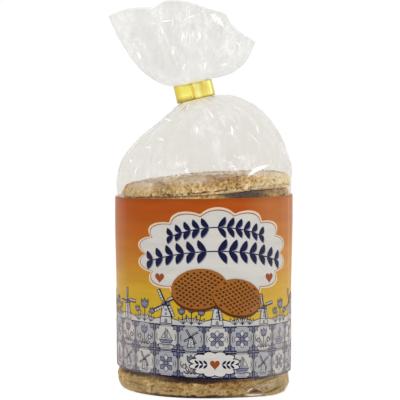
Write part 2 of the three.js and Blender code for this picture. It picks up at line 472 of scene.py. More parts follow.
def makeFilmMaterial():
    material, tree = newMaterial("clearFilm")
    across, height = objectAxis(tree, "X"), objectAxis(tree, "Z")
    aboveClip = addRange(tree, height, 0.140, 0.152)
    inNeck, nearNeck = addNearNeck(tree)

    # the wrinkles run out from the neck, so their pattern is laid round it
    flat = addNode(tree, "Mapping", {"Vector": objectPlace(tree), "Location": (0.0046, 0, 0), "Scale": (1, 1, 0)})
    spoke = addNode(tree, "VectorMath", {0: flat.outputs[0]}, operation="NORMALIZE").outputs[0]
    way = addNode(tree, "VectorMath", {0: spoke, 1: objectPlace(tree, (0, 0, 5))}, operation="ADD").outputs[0]
    wrinkle = addNoise(tree, way, 9, 3, distortion=0.5)
    wide = addNoise(tree, objectPlace(tree, (1, 1, 0.45)), 120, 4, 0.55, 0.4)
    fine = addNoise(tree, objectPlace(tree, (1, 1, 0.25)), 420, 3)
    flecks = addNoise(tree, objectPlace(tree, (1, 1, 0.6)), 230, distortion=1.2)
    cells = addNode(tree, "TexVoronoi", {"Vector": objectPlace(tree, (1, 1, 0.6)), "Scale": 95},
                    feature="DISTANCE_TO_EDGE").outputs["Distance"]
    crinkle = addMath(tree, "ADD", addMath(tree, "MINIMUM", cells, 0.16), wide)
    crinkle = addMath(tree, "MULTIPLY_ADD", fine, 0.08, crinkle)
    lines = addMath(tree, "MULTIPLY_ADD", aboveClip, -0.8, 1.3)
    crinkle = addMath(tree, "MULTIPLY_ADD", wrinkle, lines, crinkle)
    crinkle = addMath(tree, "MULTIPLY_ADD", addMath(tree, "MULTIPLY", aboveClip, flecks), 0.8, crinkle)
    bump = addBump(tree, 0.6, 0.0012, crinkle)

    # it mirrors more at a flat angle, and less below the shoulders and most of all at the foot, where it
    # clings to what it holds, and in the neck
    gentle = addBump(tree, 0.22, 0.0012, crinkle)
    facing = addNode(tree, "LayerWeight", {"Blend": 0.5, "Normal": gentle}).outputs["Facing"]
    foot = addRange(tree, height, 0.012, 0.03, low=0.4)
    cling = addMath(tree, "MULTIPLY", addRange(tree, height, 0.096, 0.112, low=0.5), foot)
    mirror = addMath(tree, "MULTIPLY_ADD", addMath(tree, "POWER", facing, 4.5), 0.6, bag["reflection"])
    mirror = addMath(tree, "MULTIPLY", mirror, cling)
    mirror = addMath(tree, "MULTIPLY", mirror, addMath(tree, "MULTIPLY_ADD", nearNeck, -0.6, 1))

    # it is cloudy in patches, at its right side, and in the neck, where it lies in many layers
    cloud = addNoise(tree, objectPlace(tree, (1, 1, 0.5)), 60, 3)
    haze = addMath(tree, "MULTIPLY", addMath(tree, "POWER", cloud, 1.5), bag["haze"])
    haze = addMath(tree, "MULTIPLY", haze, cling)
    low = addRange(tree, height, 0.112, 0.100, high=0.06)
    aside = addRange(tree, across, 0.022, 0.040)
    haze = addMath(tree, "MULTIPLY_ADD", aside, addMath(tree, "MULTIPLY", low, foot), haze)
    haze = addMath(tree, "MULTIPLY_ADD", inNeck, 0.55, haze)
    alpha = addMath(tree, "ADD", mirror, haze)
    skin = addNode(tree, "BsdfPrincipled", {"Base Color": (0.93, 0.93, 0.92, 1), "Roughness": 0.14, "Normal": bump,
                                            "Metallic": addMath(tree, "DIVIDE", mirror, alpha)})

    # light takes its tint, which is crumpled into lighter and darker patches, most of all in the frill: the lighter
    # streaks and patches are painted highlights, the darker ones painted shade
    tint = addMix(tree, aboveClip, bag["tint"], bag["frillTint"])
    streak = addMath(tree, "MULTIPLY", addRange(tree, wrinkle, 0.53, 0.70), addRange(tree, wide, 0.42, 0.62))
    tint = addMix(tree, streak, tint, bag["wrinkleHighlightTint"])
    blotch = addNoise(tree, objectPlace(tree, (1, 1, 0.7)), 190, 3, 0.6, 0.8)
    crumpled = addMath(tree, "MULTIPLY_ADD", aboveClip, 0.7, 0.3)
    for start, end, much, patchTint in ((0.54, 0.68, 0.9, bag["wrinkleHighlightTint"]), (0.46, 0.34, 0.6, bag["crumpleShadeTint"])):
        patch = addRange(tree, blotch, start, end, high=much)
        tint = addMix(tree, addMath(tree, "MULTIPLY", crumpled, patch), tint, patchTint)
    broad = addRange(tree, addNoise(tree, objectPlace(tree), 30, 1), 0.48, 0.66, high=0.55)
    tint = addMix(tree, broad, tint, bag["warmTint"])
    tint = addMix(tree, addMath(tree, "MULTIPLY", nearNeck, 0.6), tint, bag["neckTint"])
    clear = addNode(tree, "BsdfTransparent", {"Color": tint})
    mix = addNode(tree, "MixShader", {0: alpha, 1: clear.outputs[0], 2: skin.outputs[0]})
    finish(tree, mix.outputs[0])
    return material


def makeFilm():
    rows = [(at, step / steps) for at, steps in filmSections for step in range(steps)]
    rows.append((frill, 1.0))
    bm = bmesh.new()
    rolledSheet(bm, len(rows), bag["around"], lambda angle, row: rows[row][0](angle, rows[row][1]))
    outwards(bm)
    skin = BVHTree.FromBMesh(bm)
    makePiece("bagFilm", bm, makeFilmMaterial(), replaced=("bag",))
    return skin


# ---- the creases in the film that stand up and catch the light, with a glow along the white ones as painted highlight

folds = {
    "steps": 10, "rise": 0.45,
    # loose ones are strewn over these heights, mostly at the front, each with a little lean
    "loose": 110, "seed": 5, "looseHeights": ((100, 136), (147, 176)), "looseRound": 1.2, "looseLean": 0.012,
    "looseLength": (2.0, 8.0), "looseWidth": (0.4, 1.2), "looseGlint": (0.2, 0.6),
    # each bold one: its places on the front as (x, z), its width, and how strong its glowing painted highlight is
    # where that isn't 1, with less than 0 for a dark one
    "bold": [
        ([(19.2, 101.4), (22.6, 104.4), (26.3, 106.0), (30.8, 107.4)], 2.2),
        ([(-22.5, 119), (-20, 118.9), (-18, 118.2)], 1.5),
        ([(-18.5, 128.5), (-14.8, 127.1)], 1.1),
        ([(-3.7, 125.7), (-2.8, 121.1)], 1.2),
        ([(12.5, 125.7), (13.2, 120.6)], 1.0),
        ([(24.5, 125.7), (25.4, 121.6)], 1.0),
        ([(21.3, 137.5), (25.5, 133)], 0.9),
        ([(33, 126.2), (35.5, 122.8)], 1.1),
        ([(29, 131), (31.5, 128.5)], 0.9),
        ([(17, 139.5), (20, 137.5)], 0.9),
        ([(-34.8, 109.8), (-33.6, 107.4)], 0.9),
        ([(-28, 114.6), (-24, 115.6)], 0.5),
        ([(18.5, 1.9), (21, 3.5), (23.2, 4.6)], 0.8, 0.5),
        ([(23.2, 4.6), (25.4, 3.3), (28, 1.9)], 0.8, 0.3),
        ([(18.6, 1.6), (23, 1.3), (27.7, 1.4)], 1.3, 0.7),
        ([(22.6, 5.3), (27, 4.6), (31, 4.4), (35.6, 5.4)], 2.4, 0.12),
        ([(20.5, 2.2), (23.6, 2.8), (27.4, 2.2)], 1.9, -0.9),
        ([(21, 4.2), (27.7, 6.5), (32, 7.2), (36.2, 7.6)], 1.1, -0.5),
        ([(26.7, 1.6), (29.5, 1.9), (32, 2.3), (34.5, 2.8), (37, 3.2)], 1.5, -0.6),
        ([(-31.8, 160.6), (-29.9, 156.3)], 1.5),
        ([(-20.4, 172), (-19, 168.2)], 1.5),
        ([(-9, 154.4), (-10.4, 151.1)], 1.1),
        ([(7.7, 153.5), (11, 154.9)], 1.7),
        ([(-2.3, 170), (-1.8, 165.3)], 0.9),
        ([(3, 178), (6, 175.5), (9.5, 171.5)], 3.4),
        ([(15.3, 165.3), (17.2, 163)], 0.8),
        ([(-21, 174.2), (-15, 174.8)], 0.9),
        ([(-8, 176), (-4.2, 177.4)], 1.0),
    ],
}


def addFold(bm, skin, rays, width, strength, store):
    # a sliver of film that stands up along its middle and tapers to both ends
    hits = [skin.ray_cast(start, way)[:2] for start, way in rays]
    places = [place for place, normal in hits if place]
    if len(places) < len(hits) or any((a - b).length > 4 for a, b in zip(places, places[1:])):
        return
    last = len(hits) - 1
    for vertex in bmesh.ops.create_grid(bm, x_segments=4, y_segments=last, size=1)["verts"]:
        side, row = vertex.co.x, round((vertex.co.y + 1) / 2 * last)
        place, normal = hits[row]
        along = places[min(row + 1, last)] - places[max(row - 1, 0)]
        half = width / 2 * math.sin(math.pi * (row + 0.3) / (last + 0.6)) ** 0.8
        lift = half * folds["rise"] * 2 * (1 - side * side) - 0.02
        vertex.co = place + along.cross(normal).normalized() * side * half + normal * lift
        vertex[store] = strength * (1 - side ** 4) * math.sin(math.pi * row / last) ** 0.5


def makeFoldMaterial():
    # white ones mirror, and glow a little as painted highlight, and dark ones only let less light through
    material, tree = newMaterial("foldedFilm")
    glintAndDarkness = storedValue(tree, "glintAndDarkness")
    gloss = addNode(tree, "BsdfPrincipled", {"Base Color": (0.98, 0.98, 0.975, 1), "Metallic": 1.0,
                                             "Roughness": 0.25, "Emission Color": (1, 1, 1, 1),
                                             "Emission Strength": 0.2})
    glow = addNode(tree, "BsdfPrincipled", {"Base Color": (0.9, 0.9, 0.89, 1), "Roughness": 0.6,
                                            "Emission Color": (1, 1, 1, 1), "Emission Strength": 0.3})
    soft = addRange(tree, glintAndDarkness, 1.0, 0.6, 0.45, 0.85)
    paintedHighlight = addNode(tree, "MixShader", {0: soft, 1: gloss.outputs[0], 2: glow.outputs[0]})
    darkness = addMath(tree, "MULTIPLY", glintAndDarkness, -1)
    clear = addNode(tree, "BsdfTransparent", {"Color": addMix(tree, darkness, (1, 1, 1, 1), (0.30, 0.25, 0.21, 1))})
    alpha = addRange(tree, addNoise(tree, objectPlace(tree), 180, 3), 0.3, 0.6, 0.3, 0.95)
    alpha = addMath(tree, "MULTIPLY", alpha, addMath(tree, "MAXIMUM", glintAndDarkness, 0))
    mix = addNode(tree, "MixShader", {0: alpha, 1: clear.outputs[0], 2: paintedHighlight.outputs[0]})
    finish(tree, mix.outputs[0])
    return material


def makeFolds(skin):
    bm = bmesh.new()
    store = bm.verts.layers.float.new("glintAndDarkness")
    steps = folds["steps"]
    for path, width, *glintAndDarkness in folds["bold"]:
        corners = [Vector((x, 0, z)) for x, z in path]
        points = [catmullRom(corners, step / steps) for step in range(steps + 1)]
        rays = [(Vector((point.x, -200, point.z)), Vector((0, 1, 0))) for point in points]
        addFold(bm, skin, rays, width, glintAndDarkness[0] if glintAndDarkness else 1.0, store)
    pick = random.Random(folds["seed"])
    for _ in range(folds["loose"]):
        angle = pick.gauss(-math.pi / 2, folds["looseRound"])
        low = pick.choice([pick.uniform(*heights) for heights in folds["looseHeights"]])
        length = pick.uniform(*folds["looseLength"])
        turn = pick.gauss(0, folds["looseLean"])
        rays = []
        for step in range(steps + 1):
            share = step / steps
            way = angle + turn * share * length + 0.02 * math.sin(3 * share)
            spoke = Vector((math.cos(way), math.sin(way), 0))
            rays.append((Vector((bag["neckCentre"], 0, low + length * share)) + spoke * 150, -spoke))
        addFold(bm, skin, rays, pick.uniform(*folds["looseWidth"]), pick.uniform(*folds["looseGlint"]), store)
    bm.normal_update()
    makePiece("filmFolds", bm, makeFoldMaterial())


# ---- the waffles inside it: each is two thin baked wafers with a layer of syrup between them

waffle = {
    "count": 12, "pitch": 8.42, "first": 4.3, "rimRound": 1.9, "syrup": 0.7,
    "gridPitch": 4.3, "gridDepth": 0.4, "crumb": 1.35,
    # patches of a rim: toasted ones are (angle, spread, how dark), partly real toast and partly painted shade, and
    # below 0 lighter as painted light;
    # pressed ones are (angle, spread) and smooth; burnt ones are (angle, spread, lowest height, highest height, how
    # much), partly burnt crust and mostly painted shadow; and overRim is where the face's colour comes down, as
    # (angle, spread, how far); even is how smooth the rest of the rim is.
    # rest is what a waffle lies on, as (height at the axis, slope), sag is how far its foot hangs down at the
    # left of sagFrom, split moves its layer of syrup up, and filling is how far it goes into the film's end fold
    "plain": {"tilt": 0.004, "bend": 0, "radius": 39.3, "thickness": 8.2, "around": 150, "faceRows": (8, 8),
              "rimRows": 5, "groove": 1.0, "toastAndLightPatches": [], "pressed": [], "even": 0, "burntAndShadow": [], "rest": (0.15, 0),
              "sag": 0, "sagFrom": 24, "split": 0, "overRim": [], "wander": 0.012, "filling": 0},
    "second": {"seed": 11, "middle": (1.0, -0.3, 89.6), "tilt": 0.055, "radius": 40, "around": 420,
               "faceRows": (40, 8), "rimRows": 14, "toastAndLightPatches": [(-0.62, 0.3, 0.56), (-0.1, 0.4, 0.36)],
               "burntAndShadow": [(-1.09, 0.34, 80, 100, 0.95)]},
    "top": {"seed": 21, "middle": (1.1, 0, 98.0), "tilt": 0.075, "bend": 0.0012, "radius": 40.4, "thickness": 6.5,
            "around": 600, "faceRows": (70, 12), "rimRows": 20, "rest": (93.85, 0.055), "sag": 1.9,
            "split": -1.8, "overRim": [(-2.25, 0.6, 4.5), (-1.5, 0.3, 1.5), (-0.5, 0.4, 2)],
            "toastAndLightPatches": [(-1.25, 0.34, 0.5), (-1.8, 0.4, 0.3), (-0.35, 0.45, -0.25), (-2.5, 0.6, 0.15)]},
    "foot": {"seed": 33, "middle": (-0.3, 0, 4.8), "tilt": -0.008, "thickness": 9.4, "radius": 41, "around": 600,
             "faceRows": (10, 24), "rimRows": 24, "groove": 0.25, "wander": 0.004, "filling": 0.85,
             "toastAndLightPatches": [(-0.55, 0.35, -0.32), (-1.2, 0.3, 0.24), (-1.6, 0.4, 0.2), (-2.9, 0.3, 0.2)],
             "pressed": [(-2.7, 0.5), (-0.45, 0.3)], "even": 0.45,
             "burntAndShadow": [(-1.75, 0.68, -1, 2.1, 1), (-1.66, 0.5, 7.7, 12, 1), (-0.83, 0.12, 7.8, 12, 0.8),
                       (-2.55, 0.36, 8.7, 12, 0.8)]},
    # next is the one above the foot
    "next": {"middle": (0, 0, 13.1), "tilt": -0.02, "thickness": 6.6, "burntAndShadow": [(-1.66, 0.5, 6.9, 12, 1)]},
}


def crumbAt(probe):
    # how far a baked crumb stands out, and how light it is, both from about 0 in a pit to 1; the lightness is partly
    # the crumb's own colour, partly painted highlight on the lumps and painted shade in the pits
    near = noise.voronoi(probe / waffle["crumb"])[0][0]
    lump = clamp(1.1 - near * 1.4)
    rough = 0.5 + 0.5 * noise.noise(probe / 0.6)
    pit = smooth(noise.noise(probe / 1.2 + Vector((7, 3, 5))), 0.28, 0.5)
    return 0.6 * lump + 0.4 * rough - 0.6 * pit, clamp(0.3 + 0.45 * lump + 0.35 * rough - 0.45 * pit)


def gridDent(x, y):
    # 0 on the ridges and 1 in the middle of a cell
    cells = [0.5 - 0.5 * math.cos(fullTurn * place / waffle["gridPitch"]) for place in (x, y)]
    return smooth(min(cells), 0.1, 0.6)


def leanPoint(shape, point):
    # tilts and bends a waffle's point, keeps it off what it rests on, and moves it to its height
    tilt = shape["tilt"]
    x, y, z = shape["middle"]
    place = Vector((point.x + x, point.y + y, point.z + z + tilt * point.x - shape["bend"] * point.x ** 2))
    level, slope = shape["rest"]
    sag = shape["sag"] * (1 - smooth(place.x, -2, shape["sagFrom"]))
    place.z -= sag * clamp(-2 * point.z / shape["thickness"])
    place.z = max(place.z, level + slope * place.x)
    return place


def waffleProfile(shape):
    # its rows as (kind, distance from the axis, height), which run down the outside from the middle of the
    # top face to the middle of the bottom one
    half, syrup, edge, radius = shape["thickness"] / 2, waffle["syrup"] / 2, waffle["rimRound"], shape["radius"]
    profile = []
    for way, rows in ((1, shape["faceRows"][0]), (-1, shape["faceRows"][1])):
        part = [("face", (step / rows) ** 0.8 * (radius - edge), half) for step in range(rows + 1)]
        for step in range(1, shape["rimRows"] + 1):
            share = step / shape["rimRows"]
            bulge = math.sin(math.pi / 2 * min(1, share * 1.35)) ** 0.7
            part.append(("rim", radius - edge + edge * bulge, lerp(half, syrup + way * shape["split"], share)))
        part.append(("groove", radius - 1.2, syrup * 0.6 + way * shape["split"]))
        part = [(kind, reach, way * height) for kind, reach, height in part]
        profile += part if way > 0 else part[::-1]
    return profile


def patchAt(angle, middle, spread):
    # 1 in the middle of a patch of the rim, and 0 away from it
    return math.exp(-min(turnBetween(angle, middle) / spread, 9) ** 4)


# the burnt patches are partly burnt crust and mostly painted shadow in gaps, under the label's edge and along the
# foot
def burntAndShadowAt(shape, angle, place):
    burntAndShadow, level = 0, place.z + 0.9 * noise.noise(place / 2.6)
    for middle, spread, low, high, much in shape["burntAndShadow"]:
        share = smooth(level, low - 1, low) * (1 - smooth(level, high - 1, high))
        burntAndShadow = max(burntAndShadow, share * much * patchAt(angle, middle, spread))
    return burntAndShadow


def addWaffle(bm, stores, shape):
    half, edge, radius = shape["thickness"] / 2, waffle["rimRound"], shape["radius"]
    profile = waffleProfile(shape)
    seed = shape["seed"]
    shift = Vector((seed * 17.3, seed * 5.1, seed * 9.7))
    turn = seed * 0.37

    def placeAt(angle, row):
        kind, reach, height = profile[row]
        wander = 1 + shape["wander"] * noise.noise(Vector((math.cos(angle), math.sin(angle), 0)) * 1.7 + shift)
        point = ringPoint(angle, 0, reach * wander, reach * wander, height)
        stand, light = crumbAt(point + shift)
        pressed = max([shape["even"]] + [patchAt(angle, *patch) for patch in shape["pressed"]])
        stand, light = lerp(stand, 0.5, 0.8 * pressed), lerp(light, 0.64, 0.8 * pressed)
        # the face's colour reaches out to an uneven border, which comes down over the rim in places
        border = 3.5 * noise.noise((point + shift) / 9) + 2.5
        border -= sum(patchAt(angle, middle, spread) * much for middle, spread, much in shape["overRim"])
        inward = radius - reach if kind == "face" else edge - (half - abs(height))
        onFace = smooth(inward, border, border + 4) if height > 0 or kind == "face" else 0
        dent = 0
        if kind == "face":
            x = point.x * math.cos(turn) + point.y * math.sin(turn)
            y = point.y * math.cos(turn) - point.x * math.sin(turn)
            dent = gridDent(x, y) * (1 - smooth(reach, radius - 9, radius - 4))
            point.z += math.copysign(stand * lerp(0.7, 0.3, onFace) - waffle["gridDepth"] * dent - 0.3, height)
        else:
            gap = noise.noise((point + shift) / 3) + 0.8 * noise.noise((point + shift) / 0.9)
            open = 1 if kind == "rim" else 1 - shape["groove"] * smooth(gap, -0.1, 0.35)
            low = 0.7 * noise.noise((point + shift) / 5.5)
            point = pushOut(point, angle, 0.85 * stand - 0.6 + low + (1.1 * open if kind == "groove" else 0))
            point.z += 0.45 * noise.noise((point + shift) / 2.1)
            # a deep stretch of the groove is darker: painted shade
            if kind == "groove":
                light *= lerp(0.45, 1, open)
        point.z += 0.5 * noise.noise(Vector((point.x, point.y, 0)) / 22 + shift)
        # toasted patches: real toast and painted shade, and painted light where below 0
        toastAndShadeAmount = sum(patchAt(angle, middle, spread) * much for middle, spread, much in shape["toastAndLightPatches"])
        toastAndShadeAmount *= smooth(height, -half, half * 0.5)
        place = leanPoint(shape, point)
        if reach > 30:
            place = pushOut(place, angle, shape["filling"] * foldAt(angle, place.z))
        return place, light * (1 - toastAndShadeAmount), onFace * (1 - clamp(toastAndShadeAmount)), burntAndShadowAt(shape, angle, place), dent

    rolledSheet(bm, len(profile), shape["around"], placeAt, stores)


def addSyrup(bm, shape):
    half, radius = waffle["syrup"] / 2, shape["radius"]
    profile = [(0, half), (radius - 2.4, half), (radius - 1.3, half * 0.6), (radius - 1.3, -half * 0.6),
               (radius - 2.4, -half), (0, -half)]
    profile = [(reach, height + shape["split"]) for reach, height in profile]

    def placeAt(angle, row):
        reach, height = profile[row]
        if reach > radius - 2:
            reach += 0.8 * noise.noise(Vector((math.cos(angle) * 6, math.sin(angle) * 6, shape["seed"])))
        return leanPoint(shape, ringPoint(angle, 0, reach, reach, height))

    rolledSheet(bm, len(profile), 180, placeAt)


def makeWaffleMaterial():
    material, tree = newMaterial("bakedWaffle")
    place = objectPlace(tree)
    grain = addNoise(tree, place, 1100, 3, 0.6)
    spots = addNode(tree, "TexVoronoi", {"Vector": place, "Scale": 900, "Randomness": 1.0}).outputs["Color"]
    spot = addNode(tree, "SeparateColor", {0: spots}).outputs[0]
    light = addMath(tree, "MULTIPLY_ADD", storedValue(tree, "crumb"), 0.55, addMath(tree, "MULTIPLY", grain, 0.35))
    light = addMath(tree, "MULTIPLY_ADD", spot, 0.22, light)
    rim = addRamp(tree, light, [(0.20, "50321a"), (0.38, "b0803e"), (0.54, "e2bc76"), (0.74, "fbeabf")])

    # the face is pale and streaked, browner in patches, and darker in the dents of its grid as painted shade
    streak = addMath(tree, "SUBTRACT", addNoise(tree, place, 240, 4, 0.65), 0.13)
    streak = addMath(tree, "MULTIPLY_ADD", grain, 0.3, streak)
    face = addRamp(tree, streak, [(0.30, "d4b799"), (0.44, "f2dcc2"), (0.56, "fbeedd"), (0.70, "fff9f0")])
    brownAndDentShade = addRange(tree, addNoise(tree, place, 70), 0.53, 0.63, high=0.5)
    brownAndDentShade = addMath(tree, "MULTIPLY_ADD", storedValue(tree, "dent"), 0.16, brownAndDentShade)
    face = addMix(tree, brownAndDentShade, face, "a9784c")
    colour = addMix(tree, storedValue(tree, "onFace"), rim, face)
    colour = addShade(tree, colour, addMath(tree, "MULTIPLY_ADD", addNoise(tree, place, 120, 3), 0.9, 0.56))

    # the lowest waffle is darker, below about 10 to 14 mm, and some stretches of a rim are burnt: partly burnt
    # crust, mostly painted shadow
    low = addRange(tree, objectAxis(tree, "Z"), 0.014, 0.010)
    colour = addMix(tree, low, colour, addMix(tree, 1.0, colour, "ccc3b2", "MULTIPLY"))
    colour = addMix(tree, storedValue(tree, "burntAndShadow"), colour, "3e200c")
    bump = addBump(tree, 0.5, 0.0006, grain)
    shader = addNode(tree, "BsdfPrincipled", {"Base Color": colour, "Roughness": 0.8, "Normal": bump,
                                              "Specular IOR Level": 0.25})
    finish(tree, shader.outputs[0])
    return material


def makeSyrupMaterial():
    material, tree = newMaterial("syrup")
    grain = addNoise(tree, objectPlace(tree), 300, 3)
    colour = addRamp(tree, grain, [(0.3, "3c200e"), (0.7, "6e421e")])
    bump = addBump(tree, 0.4, 0.0006, grain)
    shader = addNode(tree, "BsdfPrincipled", {"Base Color": colour, "Roughness": 0.3, "Normal": bump,
                                              "Coat Weight": 0.3, "Coat Roughness": 0.12})
    finish(tree, shader.outputs[0])
    return material


def makeWaffles():
    baked = makeWaffleMaterial()
    syrups = bmesh.new()

    def addPiece(name, *changes):
        bm = bmesh.new()
        stores = [bm.verts.layers.float.new(layer) for layer in ("crumb", "onFace", "burntAndShadow", "dent")]
        for change in changes:
            shape = {**waffle["plain"], **change}
            addWaffle(bm, stores, shape)
            addSyrup(syrups, shape)
        bmesh.ops.recalc_face_normals(bm, faces=bm.faces)
        makePiece(name, bm, baked)

    inner = []
    for number in range(1, waffle["count"] - 2):
        sway = noise.noise(Vector((number * 3.1, 0, 0))) * 0.9
        inner.append({"seed": number, "middle": (sway, 0.4 * sway, waffle["first"] + number * waffle["pitch"])})
    inner[0].update(waffle["next"])
    addPiece("wafflesInner", *inner)
    addPiece("waffleSecond", waffle["second"])
    addPiece("waffleTop", waffle["top"])
    addPiece("waffleFoot", waffle["foot"])
    bmesh.ops.recalc_face_normals(syrups, faces=syrups.faces)
    makePiece("syrupLayers", syrups, makeSyrupMaterial())


# ---- the label band

label = {"foot": 9.4, "top": 92.5, "out": 0.7, "wall": 0.22, "around": 360, "rows": 24,
         "askew": 1.4, "droop": 0.25, "droopFrom": 60, "softness": 0.3,
         "rumple": {"depth": 0.22, "count": 34, "lean": 0.03, "angle": -0.3, "spread": 0.2},
         # the print is cut at these pitches, and each layer of ink lies this much further out
         "radius": 42.4, "cutAcross": 1.0, "cutUp": 3.0, "lift": 0.05, "layer": 0.02}


def labelRadius(x, y, height):
    # the band is a little uneven, and rumpled at its right side; x and y give the way out from the axis
    angle = math.atan2(y, x)
    rumple = label["rumple"]
    wave = rumple["depth"] * math.sin(rumple["count"] * angle + rumple["lean"] * height)
    wave *= math.exp(-((angle - rumple["angle"]) / rumple["spread"]) ** 2)
    soft = label["softness"] * noise.noise(Vector((x * 2.2, y * 2.2, height / 30)))
    return sideRadius(height) + label["out"] + wave + soft


def labelSet(x, y, height, lift):
    # the band sits a little askew: at its foot it is higher at the left than at the right, and at its top lower
    radius = labelRadius(x, y, height) + lift
    askew = label["askew"] * x * smooth(height, label["top"], label["foot"])
    droop = label["droop"] * (1 - x) ** 2 * smooth(height, label["droopFrom"], label["top"])
    return Vector((radius * x, radius * y, height - askew - droop))


def labelPoint(along, height, lift):
    angle = along / label["radius"]
    return labelSet(math.sin(angle), -math.cos(angle), height, lift)


def addLabelFinish(tree, colour, glow=0.0):
    # printed paper under film: a little streaked, uneven and grained
    streak = addNoise(tree, objectPlace(tree, (1, 1, 5)), 55, 3)
    colour = addShade(tree, colour, addMath(tree, "MULTIPLY_ADD", streak, 0.3, 0.85))
    fine = addNoise(tree, objectPlace(tree), 500)
    height = addMath(tree, "MULTIPLY_ADD", fine, 0.03, addNoise(tree, objectPlace(tree, (1, 1, 0.5)), 42))
    bump = addBump(tree, 0.35, 0.002, height)
    return addNode(tree, "BsdfPrincipled", {"Base Color": colour, "Roughness": 0.42, "Normal": bump,
                                            "Specular IOR Level": 0.05, "Emission Color": colour,
                                            "Emission Strength": glow}).outputs[0]


def makeLabelMaterial():
    material, tree = newMaterial("labelPrint")
    share = addMath(tree, "DIVIDE", objectAxis(tree, "Z"), 0.1)
    wave = addMath(tree, "SUBTRACT", addNoise(tree, objectPlace(tree, (1, 1, 3)), 22, 3), 0.5)
    share = addMath(tree, "MULTIPLY_ADD", wave, 0.05, share)
    colour = addRamp(tree, share, [(0.40, "c8a82e"), (0.50, "c69a2e"), (0.62, "ba7822"), (0.74, "b2601d"),
                                   (0.86, "ab4e16")])
    # it is paler round the right side, as painted light from that side, and at both edges, as a painted sheen
    across = objectAxis(tree, "X")
    colour = addMix(tree, addRange(tree, across, 0.018, 0.030, high=0.2), colour, "d9b072")
    edge = addRange(tree, addMath(tree, "ABSOLUTE", across), 0.036, 0.042, high=0.14)
    colour = addMix(tree, edge, colour, "e0c4a8")
    # its back is plain paper, and glows a little as painted light standing in for light coming through it
    back = storedValue(tree, "back")
    colour = addMix(tree, back, colour, "e4ded2")
    finish(tree, addLabelFinish(tree, colour, glow=addMath(tree, "MULTIPLY", back, 0.4)))
    return material


def makeLabel():
    heights = [lerp(label["foot"], label["top"], row / label["rows"]) for row in range(label["rows"] + 1)]
    profile = [(height, 0) for height in heights] + [(height, label["wall"]) for height in reversed(heights)]
    profile.append(profile[0])

    def placeAt(angle, row):
        height, inset = profile[row]
        return labelSet(math.cos(angle), math.sin(angle), height, -inset), 1 if inset else 0

    bm = bmesh.new()
    rolledSheet(bm, len(profile), label["around"], placeAt, [bm.verts.layers.float.new("back")])
    bmesh.ops.recalc_face_normals(bm, faces=bm.faces)
    makePiece("labelBand", bm, makeLabelMaterial(), replaced=("label",))


# ---- the print: flat shapes drawn along the label and up it, then wrapped round it

inks = {
    # name: (colour, record slot)
    "panel": ("cdc9c3", "ink_white"),
    "paper": ("bfbcb6", "ink_white"),
    "mist": ("a3a3a6", "ink_white"),
    "cream": ("dcc7ab", "ink_white"),
    "rust": ("8f4620", "ink_brown"),
    "navy": ("16183a", "ink_navy"),
    "slate": ("74788f", "ink_navy"),
    "waffleInk": ("985c25", "ink_brown"),
    "waffleLight": ("bc8444", "ink_brown"),
    "waffleShade": ("5a3011", "ink_brown"),
}
drawing = {ink: [] for ink in inks}


def draw(ink, layer, points, line=0.0):
    # a filled shape, or only its border where a line width is given
    drawing[ink].append((layer, points, line))


def moved(points, along, height, scale=1.0, turn=0.0):
    c, s = math.cos(turn) * scale, math.sin(turn) * scale
    return [(along + (x * c - z * s), height + x * s + z * c) for x, z in points]


def placedAt(*place):
    # moves any shape's points to one place
    return lambda points: moved(points, *place)


def ovalPoints(halfWidth, halfHeight, count, start=0.0, sweep=fullTurn):
    closed = abs(sweep - fullTurn) < 0.001
    steps = count if closed else count - 1
    turns = [start + sweep * step / steps for step in range(count)]
    return [(halfWidth * math.cos(a), halfHeight * math.sin(a)) for a in turns]


def boxPoints(halfWidth, halfHeight):
    return [(-halfWidth, -halfHeight), (halfWidth, -halfHeight), (halfWidth, halfHeight), (-halfWidth, halfHeight)]


def scallopPoints(halfWidth, halfHeight, lobes, depth):
    points = []
    for x, z in ovalPoints(1, 1, 240):
        swell = 1 - depth + depth * abs(math.sin(lobes * math.atan2(z, x) / 2)) ** 0.8
        points.append((x * halfWidth * swell, z * halfHeight * swell))
    return points


def strokePoints(path, width):
    # the outline of a line of that width along a path
    left, right = [], []
    for index, (x, z) in enumerate(path):
        before, after = path[max(index - 1, 0)], path[min(index + 1, len(path) - 1)]
        step = Vector((after[0] - before[0], after[1] - before[1])).normalized() * width / 2
        left.append((x - step.y, z + step.x))
        right.append((x + step.y, z - step.x))
    return left + right[::-1]


def leafPoints(start, tip, width, bend=0.0):
    first, last = Vector(start), Vector(tip)
    across = (last - first).normalized().orthogonal()
    left, right, steps = [], [], 7
    for step in range(steps + 1):
        share = step / steps
        middle = first.lerp(last, share) + across * bend * math.sin(math.pi * share)
        half = across * width / 2 * math.sin(math.pi * share) ** 0.8
        left.append(tuple(middle + half))
        right.append(tuple(middle - half))
    return left + right[-2:0:-1]


def drawOutlined(ink, layer, points, line):
    draw(ink, layer, points)
    draw("navy", layer + 1, points, line)


def heartPoints(size):
    points, count = [], 28
    for step in range(count):
        t = fullTurn * step / count
        points.append((size * math.sin(t) ** 3, size * (13 * math.cos(t) - 5 * math.cos(2 * t)
                                                        - 2 * math.cos(3 * t) - math.cos(4 * t)) / 15))
    return points[::-1]


